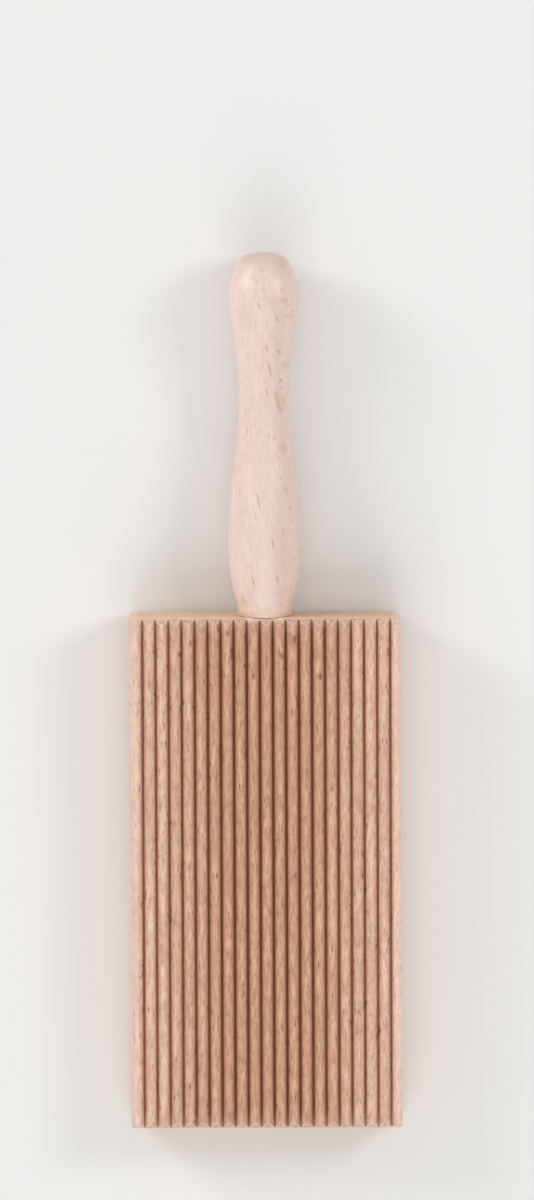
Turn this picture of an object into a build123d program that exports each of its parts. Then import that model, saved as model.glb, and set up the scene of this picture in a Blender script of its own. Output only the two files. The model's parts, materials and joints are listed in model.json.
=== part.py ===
from build123d import *
import os
from math import asin, atan2, ceil, cos, degrees, floor, hypot, sin

# A gnocchi board: a small beech board with a ridged face, and a turned beech handle whose
# round tenon is glued into a blind bore in the board's end. Pieces of dough are rolled
# down the ridges, which stripe them.
#
# Lengths are in millimetres. The pieces are first laid out square to the board: its flat
# back on z = 0, X across the ridges, Y along them towards the handle, and the end that
# carries the handle on y = 0. The handle's belly is thicker than the board, so a real one
# lies on its far edge and its belly. At the end all the pieces are tipped together into
# that pose, above the middle of the space that they take up.

# Board
BOARD_WIDTH = 65.0
BOARD_LENGTH = 123.5
BOARD_THICKNESS = 14.0
PLAN_CORNER_RADIUS = 1.2
BACK_EDGE_RADIUS = 3.0
BACK_END_RADIUS = 1.2
END_BEVEL_LENGTH = 1.0
END_BEVEL_DEPTH = 1.75
END_BEVEL_BLEND_RADIUS = 1.2

# Ridges: round reeds with narrow, steep grooves between them. The moulding is wider than the
# board, so the board's sides cut it off where they meet it.
RIDGE_PITCH = 3.11
GROOVE_DEPTH = 1.25
GROOVE_WALL_HEIGHT = 0.4
GROOVE_MOUTH_WIDTH = 0.44
GROOVE_ROOT_WIDTH = 0.36
MOULDING_SHIFT = 0.3

# Handle, in stages from the board's end to the tip
FOOT_DIAMETER = 13.0
FOOT_HEIGHT = 2.6
FOOT_RIM_BEVEL = 0.4
FOOT_BLEND_RADIUS = 5.0
BELLY_DIAMETER = 17.4
FOOT_TO_BELLY = 14.2
NECK_DIAMETER = 11.95
BELLY_TO_NECK = 36.4
KNOB_DIAMETER = 16.7
NECK_TO_KNOB = 23.4
CROWN_DIAMETER = 10.6
CROWN_RISE = 1.1
CROWN_EDGE_RADIUS = 4.0
KNOB_TO_TIP = 10.5

# Glued joint: the handle's tenon, the bore round it and the glue between them
TENON_DIAMETER = 6.0
TENON_LENGTH = 20.0
TENON_LEAD = 0.8
GLUE_THICKNESS = 0.1
GLUE_UNDER_TENON = 0.5
BORE_END_GAP = 1.5
BORE_MOUTH_BEVEL = 0.4
CUT_OVERRUN = 2.0

# Where the handle's outline turns from round to hollow, and back from hollow to round, as
# shares of the way from belly to neck and from neck to knob
BELLY_TURN_SHARE = 0.52
NECK_TURN_SHARE = 0.74

foot_radius = FOOT_DIAMETER / 2
belly_radius = BELLY_DIAMETER / 2
neck_radius = NECK_DIAMETER / 2
knob_radius = KNOB_DIAMETER / 2
tenon_radius = TENON_DIAMETER / 2
bore_radius = tenon_radius + GLUE_THICKNESS
bore_mouth_radius = bore_radius + BORE_MOUTH_BEVEL
bore_depth = TENON_LENGTH + BORE_END_GAP
handle_axis_height = BOARD_THICKNESS / 2
belly_height = FOOT_HEIGHT + FOOT_TO_BELLY
neck_height = belly_height + BELLY_TO_NECK
knob_height = neck_height + NECK_TO_KNOB
handle_length = knob_height + KNOB_TO_TIP


def groove_places():
    """X of each groove's middle, with one at or past each side of the board.

    A ridge's crest lies MOULDING_SHIFT right of the middle, so a groove lies half a pitch
    to each side of it, and so on outwards.
    """
    reach = BOARD_WIDTH / 2 - GROOVE_MOUTH_WIDTH / 2
    first = floor((-reach - MOULDING_SHIFT) / RIDGE_PITCH - 1 / 2)
    last = ceil((reach - MOULDING_SHIFT) / RIDGE_PITCH - 1 / 2)
    return [MOULDING_SHIFT + RIDGE_PITCH * (place + 1 / 2) for place in range(first, last + 1)]


def moulding():
    """The ridges across the board, drawn as (x, z): an arc per ridge, and grooves between."""
    root = BOARD_THICKNESS - GROOVE_DEPTH
    mouth = root + GROOVE_WALL_HEIGHT
    half_root = GROOVE_ROOT_WIDTH / 2
    half_mouth = GROOVE_MOUTH_WIDTH / 2
    grooves = groove_places()
    left = grooves[0] - half_mouth
    right = grooves[-1] + half_mouth
    edges = [Polyline((left, mouth), (left, 0), (right, 0), (right, mouth))]
    for groove in grooves:
        edges.append(Polyline(
            (groove - half_mouth, mouth), (groove - half_root, root),
            (groove + half_root, root), (groove + half_mouth, mouth),
        ))
    for groove, following in zip(grooves, grooves[1:]):
        crest = ((groove + following) / 2, BOARD_THICKNESS)
        edges.append(ThreePointArc((groove + half_mouth, mouth), crest, (following - half_mouth, mouth)))
    return make_face(edges)


def board_cross_section():
    """The board cut square to its ridges, drawn as (x, z), with its back edges rounded."""
    blank = Pos(Y=BOARD_THICKNESS / 2) * Rectangle(BOARD_WIDTH, BOARD_THICKNESS)
    back_edges = blank.vertices().group_by(Axis.Y)[0]
    return moulding() & fillet(back_edges, BACK_EDGE_RADIUS)


def board_side_view():
    """The board seen along X, drawn as (y, z): both ends bevelled in front, rounded behind.

    Each bevel is steep and runs into the crests of the ridges through a rounded corner.
    """
    far = -BOARD_LENGTH
    crest = BOARD_THICKNESS
    shoulder = crest - END_BEVEL_DEPTH
    bevelled_front = Polyline(
        (0, BACK_END_RADIUS), (0, shoulder), (-END_BEVEL_LENGTH, crest),
        (far + END_BEVEL_LENGTH, crest), (far, shoulder), (far, BACK_END_RADIUS),
    )
    rounded_back = [
        TangentArc((far, BACK_END_RADIUS), (far + BACK_END_RADIUS, 0), tangent=(0, -1)),
        Line((far + BACK_END_RADIUS, 0), (-BACK_END_RADIUS, 0)),
        TangentArc((-BACK_END_RADIUS, 0), (0, BACK_END_RADIUS), tangent=(1, 0)),
    ]
    outline = make_face([bevelled_front] + rounded_back)
    return fillet(outline.vertices().group_by(Axis.Y)[-1], END_BEVEL_BLEND_RADIUS)


def bore_space():
    """The space of the blind bore, with its mouth on z = 0 and its end below."""
    outline = Polyline(
        (0, 0), (bore_mouth_radius, 0), (bore_radius, -BORE_MOUTH_BEVEL),
        (bore_radius, -bore_depth), (0, -bore_depth), close=True,
    )
    return revolve(Plane.XZ * make_face(outline), Axis.Z)


def ridged_board():
    """The solid that three outlines share, one along each axis, with the bore in its end.

    The end bevels cut across the round ridges, which gives each ridge its scalloped tip.
    """
    along = extrude(Plane.XZ * board_cross_section(), BOARD_LENGTH)
    across = extrude(Plane.YZ * board_side_view(), BOARD_WIDTH / 2, both=True)
    plan = Pos(Y=-BOARD_LENGTH / 2) * RectangleRounded(BOARD_WIDTH, BOARD_LENGTH, PLAN_CORNER_RADIUS)
    upward = extrude(plan, BOARD_THICKNESS)
    clear_mouth = Pos(Z=CUT_OVERRUN / 2) * Cylinder(bore_mouth_radius, CUT_OVERRUN)
    return (along & across & upward) - on_handle_axis(bore_space() + clear_mouth)


def part_way(start, end, share):
    """The point that lies a share of the way from one point to another."""
    return tuple(here + share * (there - here) for here, there in zip(start, end))


def handle_half_section():
    """Half of the handle cut along its axis, drawn as (radius, height).

    Each sweep between a wide place and a narrow one is two arcs, upright at its ends and
    tangent where they meet, which is always on the straight line between those ends. The
    knob ends in a low crown with a rounded edge.
    """
    foot_top = (foot_radius, FOOT_HEIGHT)
    belly = (belly_radius, belly_height)
    neck = (neck_radius, neck_height)
    knob = (knob_radius, knob_height)
    crown_edge = (CROWN_DIAMETER / 2, handle_length - CROWN_RISE)
    tip = (0, handle_length)
    below_neck = part_way(belly, neck, BELLY_TURN_SHARE)
    above_neck = part_way(neck, knob, NECK_TURN_SHARE)

    tenon_and_foot = Polyline(
        tip, (0, -TENON_LENGTH), (tenon_radius - TENON_LEAD, -TENON_LENGTH),
        (tenon_radius, TENON_LEAD - TENON_LENGTH), (tenon_radius, 0),
        (foot_radius - FOOT_RIM_BEVEL, 0), (foot_radius, FOOT_RIM_BEVEL), foot_top,
    )
    section = make_face([
        tenon_and_foot,
        TangentArc(belly, foot_top, tangent=(0, -1)),
        TangentArc(belly, below_neck, tangent=(0, 1)),
        TangentArc(neck, below_neck, tangent=(0, -1)),
        TangentArc(neck, above_neck, tangent=(0, 1)),
        TangentArc(knob, above_neck, tangent=(0, -1)),
        TangentArc(knob, crown_edge, tangent=(0, 1)),
        TangentArc(tip, crown_edge, tangent=(1, 0)),
    ])
    section = fillet(section.vertices().sort_by_distance(foot_top)[0], FOOT_BLEND_RADIUS)
    return fillet(section.vertices().sort_by_distance(crown_edge)[0], CROWN_EDGE_RADIUS)


def on_handle_axis(piece):
    """Lay a piece that was made upright on z = 0 along the bore, its base on the board's end."""
    return Pos(Z=handle_axis_height) * Rot(X=-90) * piece


def turned_handle():
    """Tenon, shoulder, foot, belly, neck and knob, turned from one stick."""
    return on_handle_axis(revolve(Plane.XZ * handle_half_section(), Axis.Z))


def tenon_glue():
    """The glue: a thin sleeve round the tenon, closed under the tenon by what was squeezed there."""
    outside = Polyline(
        (0, -TENON_LENGTH - GLUE_UNDER_TENON), (bore_radius, -TENON_LENGTH - GLUE_UNDER_TENON),
        (bore_radius, -BORE_MOUTH_BEVEL), (tenon_radius, -BORE_MOUTH_BEVEL),
    )
    round_tenon = Polyline(
        (tenon_radius, -BORE_MOUTH_BEVEL), (tenon_radius, TENON_LEAD - TENON_LENGTH),
        (tenon_radius - TENON_LEAD, -TENON_LENGTH), (0, -TENON_LENGTH),
        (0, -TENON_LENGTH - GLUE_UNDER_TENON),
    )
    return on_handle_axis(revolve(Plane.XZ * make_face([outside, round_tenon]), Axis.Z))


def lean_onto(radius, height, low_end):
    """How far the board leans, in radians, when the handle rests on its widest place there.

    Seen from the side, the far back edge is an arc of a circle, and so is the handle's
    outline from low_end, given as (radius, height), up to its widest place. The table is
    the line that touches both circles from below.
    """
    rise = height - low_end[1]
    swell = radius - low_end[0]
    arc_radius = (rise ** 2 + swell ** 2) / (2 * swell)
    run = height + BOARD_LENGTH - BACK_END_RADIUS
    climb = handle_axis_height - radius + arc_radius - BACK_END_RADIUS
    return asin((arc_radius - BACK_END_RADIUS) / hypot(run, climb)) - atan2(climb, run)


def resting_pose():
    """The pose on a table: on the far back edge and the belly or the knob, or else flat.

    It also brings the middle of the space that the object takes up over the origin.
    """
    above_neck = part_way((neck_radius, neck_height), (knob_radius, knob_height), NECK_TURN_SHARE)
    tilt = 0
    if belly_radius > handle_axis_height:
        tilt = lean_onto(belly_radius, belly_height, (foot_radius, FOOT_HEIGHT))
    if knob_radius > handle_axis_height:
        tilt = max(tilt, lean_onto(knob_radius, knob_height, above_neck))

    far_edge = (BACK_END_RADIUS - BOARD_LENGTH) * sin(tilt) + BACK_END_RADIUS * cos(tilt)
    table = far_edge - BACK_END_RADIUS
    far_end = -BOARD_LENGTH * cos(tilt) - (BOARD_THICKNESS - END_BEVEL_DEPTH) * sin(tilt)
    handle_end = handle_length * cos(tilt) - handle_axis_height * sin(tilt)
    return Pos(Y=-(far_end + handle_end) / 2, Z=-table) * Rot(X=degrees(tilt))


pose = resting_pose()
pieces = {
    "ridged_board": ridged_board(),
    "turned_handle": turned_handle(),
    "tenon_glue": tenon_glue(),
}
os.makedirs("parts", exist_ok=True)
for name, piece in pieces.items():
    placed = pose * piece
    export_step(placed, f"parts/{name}.step")
    size = placed.bounding_box().size
    print(f"{name}: {placed.volume:.1f} mm3, {size.X:.2f} x {size.Y:.2f} x {size.Z:.2f} mm")

print(f"{len(groove_places()) - 1} ridges on the board, and a handle {handle_length:.2f} mm long")
print(f"the board leans {pose.orientation.X:.3f} degrees towards its far end")
back_middle = (pose * Pos(Y=-BOARD_LENGTH / 2)).position
print(f"middle of the flat back: y {back_middle.Y:.3f}, z {back_middle.Z:.3f}")
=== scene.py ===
# %% [markdown]
# # A beech gnocchi board
#
# A gnocchi board is a little kitchen tool: pieces of dough are rolled down its ridges, which
# stripe them. The real one is two pieces of beech. The board is planed, its face is moulded
# into round ridges and its ends are bevelled. The handle is turned on a lathe, and its round
# tenon is glued into a bore in the board's end.
#
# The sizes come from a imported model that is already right, so this script fits no size by
# eye. It loads that model as a fixed frame, measures it, and lays finer skins of wood exactly
# where its solids are.

# %% Load the frame
import json
from math import atan2, pi, radians

import bpy
import numpy as np
from mathutils import Matrix, Vector


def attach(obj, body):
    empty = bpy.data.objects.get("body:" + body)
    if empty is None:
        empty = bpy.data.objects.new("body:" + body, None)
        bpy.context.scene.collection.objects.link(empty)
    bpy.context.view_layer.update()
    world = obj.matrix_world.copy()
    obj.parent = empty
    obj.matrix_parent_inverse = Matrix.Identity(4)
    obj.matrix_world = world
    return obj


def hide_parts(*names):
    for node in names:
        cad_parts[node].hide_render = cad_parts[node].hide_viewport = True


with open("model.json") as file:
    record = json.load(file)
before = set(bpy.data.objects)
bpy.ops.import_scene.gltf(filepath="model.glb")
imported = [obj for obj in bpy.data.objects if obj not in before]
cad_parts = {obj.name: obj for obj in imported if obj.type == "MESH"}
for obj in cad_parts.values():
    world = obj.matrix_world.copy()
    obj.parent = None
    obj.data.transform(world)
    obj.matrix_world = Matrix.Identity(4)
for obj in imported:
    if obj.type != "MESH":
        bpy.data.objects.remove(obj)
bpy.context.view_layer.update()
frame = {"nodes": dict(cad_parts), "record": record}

print("pieces in the frame:", sorted(frame["nodes"]))

# %% [markdown]
# ## Finding the board's own directions
#
# The handle's belly is thicker than the board, so the tool lies on its far edge and on the
# belly, and the board leans a little. Everything about a board is easier to say square to it,
# with its back on z = 0, its ridges along y and its near end on y = 0. The frame knows the
# lean: the flat back's resting mount says which way the back faces. Turning the board's
# corners by that angle gives its length, width and thickness.

# %% Measure the board square to itself
MM = 0.001

back_faces = frame["record"]["mounts"][0]["axis"]
lean = atan2(back_faces[1], -back_faces[2])
turn = np.array(Matrix.Rotation(lean, 3, "X"))


def corners_of(node):
    """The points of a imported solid, one row each, turned square to the board."""
    mesh = frame["nodes"][node].data
    points = np.empty(len(mesh.vertices) * 3)
    mesh.vertices.foreach_get("co", points)
    return points.reshape(-1, 3) @ turn


board_low = corners_of("ridged_board").min(axis=0)
board_high = corners_of("ridged_board").max(axis=0)
origin = np.array([0.0, board_high[1], board_low[2]])
SIDE = (board_high[0] - board_low[0]) / 2
LENGTH = board_high[1] - board_low[1]
THICK = board_high[2] - board_low[2]
print("board in mm:", np.round([2 * SIDE / MM, LENGTH / MM, THICK / MM], 2))


def to_frame(points):
    """Points given square to the board, moved to where the frame has it: turned by the lean."""
    return (np.asarray(points) + origin) @ turn.T


def put_in_scene(name, data):
    """A new object with this data, linked into the scene."""
    made = bpy.data.objects.new(name, data)
    bpy.context.scene.collection.objects.link(made)
    return made


# %% [markdown]
# ## The camera
#
# The photograph looks almost straight down on the tool, tipped a little so that the board's
# near end shows above the ridges. A long lens from metres away keeps the sides of the board
# parallel. The lens is worked out and not guessed: the sensor's long side has to hold as many
# millimetres of board as the photograph's 1200 pixels do. The tool lay a quarter of a degree
# askew there, so the camera is turned by as much.

# %% Camera
PICTURE_HEIGHT = 1200
PIXELS_PER_MM = 4.186
CAMERA_DISTANCE = 3.5
CAMERA_TIP = radians(8.0)
CAMERA_ROLL = radians(-0.25)
LOOK_AT = np.array([0.55, 3.4, 6.0]) * MM
SENSOR = 36

look_at = Vector(to_frame(LOOK_AT))
towards_camera = Vector(turn @ np.array([0, np.sin(CAMERA_TIP), np.cos(CAMERA_TIP)]))
camera_data = bpy.data.cameras.new("camera")
camera_data.sensor_width = SENSOR
camera_data.lens = SENSOR * CAMERA_DISTANCE / (PICTURE_HEIGHT / PIXELS_PER_MM * MM)
camera = put_in_scene("camera", camera_data)
camera.location = look_at + CAMERA_DISTANCE * towards_camera
across = Vector((1, 0, 0))
level = Matrix([across, towards_camera.cross(across), towards_camera]).transposed()
camera.rotation_euler = (Matrix.Rotation(CAMERA_ROLL, 3, towards_camera) @ level).to_euler()
bpy.context.scene.camera = camera
print("lens %.1f mm" % camera_data.lens)

# %% [markdown]
# ## Soft light on a pale floor
#
# Wood without varnish shows its figure best in broad, even light. Most of it here comes from a
# plain white world. Two small lamps stand to the left and right beyond the knob and leave two
# pale patches of sheen on it. Both flanks of a ridge get the same from them, so only the
# grooves stay dark. The left one is stronger, which makes the handle's right side slightly
# darker. A larger third lamp, on the board's side, evens out the slopes.

# %% Lamps and world
# Each lamp's place and width, in metres, and its watts.
LAMPS = {
    "key_light": ((-0.8, 0.53, 0.42), 0.34, 3.4),
    "fill_light": ((0.7, 0.34, 0.56), 0.27, 2.1),
    "front_light": ((-0.05, -0.8, 0.6), 0.8, 3.0),
}
WORLD_STRENGTH = 0.59

for name, (place, width, watts) in LAMPS.items():
    data = bpy.data.lights.new(name, "AREA")
    data.size = width
    data.energy = watts
    lamp = put_in_scene(name, data)
    lamp.location = place
    lamp.rotation_euler = Vector(place).to_track_quat("Z", "Y").to_euler()

world = bpy.data.worlds.new("studio")
world.use_nodes = True
background = world.node_tree.nodes["Background"].inputs
background["Color"].default_value = (1, 1, 1, 1)
background["Strength"].default_value = WORLD_STRENGTH
bpy.context.scene.world = world
bpy.context.scene.view_settings.view_transform = "Standard"

# %% [markdown]
# ## From numbers to a skin
#
# Both pieces of wood are closed skins over loops of points, like a sock drawn over hoops: the
# first hoop closes on one end point, the last one on another. If a function gives all the
# hoops at once as one array, Blender only has to be told which four points make each face, and
# that is always the same pattern. The skin's signed volume tells if its faces point outwards.

# %% A skin over loops of points


def closed_skin(name, loops, first_pole, last_pole):
    """A mesh over loops of points, an array of loops x points x 3, closed at two poles.

    A quad joins point m of loop r to point m + 1 and to the same two of loop r + 1. Fans of
    triangles join the first loop and the last one to their poles.
    """
    count, around = loops.shape[:2]
    points = np.vstack([loops.reshape(-1, 3), first_pole, last_pole])
    ring = np.arange(around)
    beside = np.roll(ring, -1)
    starts = (np.arange(count - 1) * around)[:, None]
    corners = [starts + ring, starts + beside, starts + around + beside, starts + around + ring]
    quads = np.stack(corners, axis=-1).reshape(-1, 4)
    last = (count - 1) * around
    fans = np.vstack([
        np.stack([beside, ring, np.full(around, count * around)], axis=-1),
        np.stack([last + ring, last + beside, np.full(around, count * around + 1)], axis=-1),
    ])
    triangles = np.vstack([quads[:, [0, 1, 2]], quads[:, [0, 2, 3]], fans])
    a, b, c = (points[triangles[:, corner]] for corner in range(3))
    volume = np.einsum("ij,ij->i", a, np.cross(b, c)).sum() / 6
    if volume < 0:
        quads = quads[:, ::-1]
        fans = fans[:, ::-1]

    mesh = bpy.data.meshes.new(name)
    mesh.from_pydata(points.tolist(), [], quads.tolist() + fans.tolist())
    mesh.validate()
    mesh.shade_smooth()
    print("%s: %d triangles, %.0f mm3" % (name, len(triangles), abs(volume) / MM ** 3))
    return put_in_scene(name, mesh)


def paint(piece, name, values):
    """Store one number for each point of a mesh, which a material can read as an attribute."""
    attribute = piece.data.attributes.new(name, "FLOAT", "POINT")
    attribute.data.foreach_set("value", np.asarray(values, np.float32).ravel())


def soft_min(a, b, width):
    """The smaller of a and b, with their crossing rounded off over the given width.

    Where their gap is under width, the result is lower by (width - gap)^2 / (4 * width).
    """
    near = np.clip(width - np.abs(a - b), 0, None)
    return np.minimum(a, b) - near ** 2 / (4 * width)


# %% [markdown]
# ## The ridges
#
# The ridged face is cut in one pass by a moulding cutter, so every ridge has the same round
# section and runs dead straight. Twenty-one half-cylinders would leave seams and hidden
# faces. One formula for the height of the face at any x has neither: the distance to the
# nearest crest gives the height on an arc, and past the end of the arc a steep little wall
# drops to the flat root of the groove. Points are spread by angle round each arc.

# %% Height of the moulded face
RIDGE_PITCH = 3.11 * MM
GROOVE_DEPTH = 1.25 * MM
GROOVE_WALL = 0.4 * MM
GROOVE_MOUTH = 0.44 * MM
GROOVE_ROOT = 0.36 * MM
MOULDING_SHIFT = 0.3 * MM
STEPS_PER_RIDGE = 12
ROOT_COLUMNS = (-1, -0.85, 0, 0.85, 1)

reach = (RIDGE_PITCH - GROOVE_MOUTH) / 2
ridge_rise = GROOVE_DEPTH - GROOVE_WALL
ridge_radius = (reach ** 2 + ridge_rise ** 2) / (2 * ridge_rise)


def moulded_height(x):
    """Height over the back: an arc round the nearest crest, then the wall of a groove."""
    off_crest = np.abs((x - MOULDING_SHIFT + RIDGE_PITCH / 2) % RIDGE_PITCH - RIDGE_PITCH / 2)
    arc = THICK - ridge_radius + np.sqrt(ridge_radius ** 2 - np.minimum(off_crest, reach) ** 2)
    down_wall = np.clip(2 * (off_crest - reach) / (GROOVE_MOUTH - GROOVE_ROOT), 0, 1)
    return arc - GROOVE_WALL * down_wall


def ridge_columns():
    """X of every column of points, from the left side to the right one."""
    ridges = int(SIDE / RIDGE_PITCH) + 1
    crests = MOULDING_SHIFT + RIDGE_PITCH * np.arange(-ridges, ridges + 1)
    angles = np.linspace(-1, 1, STEPS_PER_RIDGE + 1) * np.arcsin(reach / ridge_radius)
    root = RIDGE_PITCH / 2 + GROOVE_ROOT / 2 * np.array(ROOT_COLUMNS)
    places = crests[:, None] + np.concatenate([ridge_radius * np.sin(angles), root])
    return np.unique(np.clip(places, -SIDE, SIDE).round(9))


columns = ridge_columns()
print("%d columns, ridge radius %.2f mm" % (len(columns), ridge_radius / MM))

# %% [markdown]
# ## The bevelled ends
#
# At each end a steep bevel slices off the ridges, and it runs into their crests through a
# rounded corner. A high crest meets it later than a low groove does, and that draws the row
# of pointed scallops. On an even grid such a curved edge comes out as a staircase, so the
# rows of points bend to follow it: each column's rows are spread between the end and the very
# place where its own ridge meets the bevel. There soft_min eases the edge like sandpaper, the
# less the blunter it is.

# %% Rows that follow the scallops
BEVEL_LENGTH = 1.0 * MM
BEVEL_DEPTH = 1.75 * MM
BEVEL_BLEND = 1.2 * MM
SANDED_EDGE = 0.22 * MM
LEAST_SANDED = 0.005
END_ZONE = 1.9 * MM
BACK_EDGE_RADIUS = 3.0 * MM
BACK_END_RADIUS = 1.2 * MM
# The upright corners at each end, left and right.
CORNER_RADII = {"near": (0.6 * MM, 2.0 * MM), "far": (1.2 * MM, 1.0 * MM)}
CORNER_ZONE = 2.6 * MM
ROWS_DOWN_SIDE = 9
BODY_ROWS = 26

# Shares of the way to the bevel's upper edge. Rows crowd where the surface turns fastest: at
# the eased end, share 0, and on both sides of that edge, share 1.
from_end = 1 - np.cos(np.radians(np.linspace(0, 68, 9)))
end_shares = np.append(from_end, [0.74, 0.84, 0.92, 0.97, 1.0, 1.03, 1.08, 1.15, 1.3])
down_side = np.linspace(0, 1, ROWS_DOWN_SIDE + 1)[1:-1]

SHOULDER = THICK - BEVEL_DEPTH
steepness = BEVEL_DEPTH / BEVEL_LENGTH
blend_run = BEVEL_BLEND * np.tan(np.arctan(steepness) / 2)
blend_end = BEVEL_LENGTH + blend_run
blend_start = BEVEL_LENGTH - blend_run * np.cos(np.arctan(steepness))


def bevel_rise(depth):
    """Height of the bevel over its lower edge: a slope, then an arc that ends level at the crests.

    Past the arc it goes on upwards, where nothing is left for it to cut.
    """
    to_end = np.clip(blend_end - depth, 0, BEVEL_BLEND)
    arc = BEVEL_DEPTH - BEVEL_BLEND + np.sqrt(BEVEL_BLEND ** 2 - to_end ** 2)
    past_arc = np.clip(depth - blend_end, 0, None)
    return np.where(depth < blend_start, steepness * depth, arc + past_arc)


def bevel_reach(rise):
    """How far behind the end the bevel has that height: bevel_rise the other way round."""
    to_end = np.sqrt(np.clip(BEVEL_BLEND ** 2 - (rise - BEVEL_DEPTH + BEVEL_BLEND) ** 2, 0, None))
    return np.where(rise < steepness * blend_start, rise / steepness, blend_end - to_end)


def rounded(depth, radius):
    """How far a rounded edge has still to go at a depth behind the end: a quarter of a circle."""
    return radius - np.sqrt(np.clip(radius ** 2 - np.clip(radius - depth, 0, None) ** 2, 0, None))


def squeezed(x, depth, radii):
    """X drawn in near the two upright corners, so that the outer columns follow their rounding."""
    radius = np.where(x < 0, radii[0], radii[1])
    inner = SIDE - CORNER_ZONE
    shrink = 1 - rounded(depth, radius) / CORNER_ZONE
    outer = inner + (np.abs(x) - inner) * shrink
    return np.where(np.abs(x) > inner, np.sign(x) * outer, x)


def section(depth_top, depth_side, depth_back, radii):
    """One loop round the board, at its own depth behind the end for each strip, as (x, z).

    The top strip is the moulded height, cut by the bevel. The back strip is flat with
    quarter-circle edges, and rises at the rounded end.
    """
    top_x = squeezed(columns, depth_top, radii)
    bevel = SHOULDER + bevel_rise(depth_top) - rounded(depth_top, SANDED_EDGE)
    top_z = soft_min(moulded_height(top_x), bevel, edge_widths)

    flat = SIDE - BACK_EDGE_RADIUS
    angle = np.clip((np.abs(columns) - flat) / BACK_EDGE_RADIUS, 0, 1) * pi / 2
    past_flat = np.sign(columns) * (flat + BACK_EDGE_RADIUS * np.sin(angle))
    edge_x = np.where(np.abs(columns) < flat, columns, past_flat)
    back_x = squeezed(edge_x, depth_back, radii)
    edge_rise = BACK_EDGE_RADIUS * (1 - np.cos(angle))
    back_z = np.cbrt(edge_rise ** 3 + rounded(depth_back, BACK_END_RADIUS) ** 3)

    right_x = squeezed(SIDE, depth_side[0], radii)
    left_x = squeezed(-SIDE, depth_side[1], radii)
    right_z = top_z[-1] + (back_z[-1] - top_z[-1]) * down_side
    left_z = back_z[0] + (top_z[0] - back_z[0]) * down_side
    x = np.concatenate([top_x, right_x, back_x[::-1], left_x])
    z = np.concatenate([top_z, right_z, back_z[::-1], left_z])
    return x, z


meets_bevel = bevel_reach(moulded_height(columns) - SHOULDER)
sharpness = (blend_end - meets_bevel) / (blend_end - blend_start)
edge_widths = SANDED_EDGE * np.clip(sharpness, LEAST_SANDED, 1)
print("ridges meet the bevel at these mm:", np.unique((meets_bevel / MM).round(2)))

# %% [markdown]
# ## The board's skin
#
# The loops run from the bottom of the bore, out along its wall, over the near end face, down
# the length of the board, and close on the middle of the far end. On an end face the loops
# shrink from the outline to the bore's mouth, each point straight towards the axis, so none
# of the faces there cross.

# %% Board
BORE_RADIUS = 3.1 * MM
BORE_MOUTH = 0.4 * MM
BORE_DEPTH = 21.5 * MM
AXIS_HEIGHT = THICK / 2
FACE_RINGS = 5

bore_axis = np.array([0, 0, AXIS_HEIGHT])


def end_loops(radii):
    """Loops from the end face's outline to just past the bevel, as (x, depth, z), one row each."""
    back = np.full_like(columns, END_ZONE)
    right = meets_bevel[-1] + (END_ZONE - meets_bevel[-1]) * down_side
    left = END_ZONE + (meets_bevel[0] - END_ZONE) * down_side
    reach_of = np.concatenate([meets_bevel, right, back, left])
    rows = []
    for share in end_shares:
        x, z = section(share * meets_bevel, (share * right, share * left), share * back, radii)
        rows.append(np.stack([x, share * reach_of, z], axis=-1))
    return np.array(rows)


def face_rings(outline, radius):
    """Loops on an end face, from a circle round the bore's axis out to the outline."""
    off_axis = outline - bore_axis
    away = np.hypot(off_axis[:, 0], off_axis[:, 2])
    circle = off_axis * (radius / away)[:, None]
    shares = np.linspace(0, 1, FACE_RINGS + 1)[:-1, None, None] ** 2
    return circle + (off_axis - circle) * shares + bore_axis


def board_skin():
    """The board, square to itself: bore, near face, near end, body, far end and far face."""
    near = end_loops(CORNER_RADII["near"])
    far = end_loops(CORNER_RADII["far"])[::-1]
    near_face = face_rings(near[0], BORE_RADIUS + BORE_MOUTH)
    far_face = face_rings(far[-1], BORE_RADIUS)[::-1]
    mouth = near_face[0]
    wall = (mouth - bore_axis) * (BORE_RADIUS / (BORE_RADIUS + BORE_MOUTH)) + bore_axis
    bore = np.array([wall + [0, BORE_DEPTH, 0], wall + [0, BORE_MOUTH, 0]])
    shares = np.linspace(0, 1, BODY_ROWS)[1:-1, None, None]
    for loops in (bore, near_face, near):
        loops[..., 1] *= -1
    for loops in (far, far_face):
        loops[..., 1] -= LENGTH
    body = near[-1] + (far[0] - near[-1]) * shares
    loops = np.concatenate([bore, near_face, near, body, far, far_face])
    poles = np.array([[0, -BORE_DEPTH, AXIS_HEIGHT], [0, -LENGTH, AXIS_HEIGHT]])
    return loops, poles


board_loops, board_poles = board_skin()
board = closed_skin("beech_board", to_frame(board_loops), *to_frame(board_poles))

# %% [markdown]
# ## The handle's outline
#
# A turner cuts a handle as a run of sweeps: from the wide belly in to the slim neck, and out
# again to the knob. Each sweep is two arcs that stand upright at the wide and the narrow
# place and flow into each other between them. The two corners that sandpaper has softened are
# arcs too: a circle that touches both neighbours has its centre where two larger or smaller
# circles round their centres cross.

# %% Sizes of the handle, as (radius, height over the board's end)
FOOT = (6.5, 2.6)
BELLY = (8.7, 16.8)
NECK = (5.975, 53.2)
KNOB = (8.35, 76.6)
CROWN_EDGE = (5.3, 86.0)
TIP = (0.0, 87.1)
BELLY_TURN_SHARE = 0.52
NECK_TURN_SHARE = 0.74
FOOT_BLEND_RADIUS = 5.0
CROWN_EDGE_RADIUS = 4.0
RIM_BEVEL = 0.25
TENON_RADIUS = 3.0
TENON_LENGTH = 20.0
TENON_LEAD = 0.8
OUTLINE_STEP = 0.7
SAME_POINT = 1e-6


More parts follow.
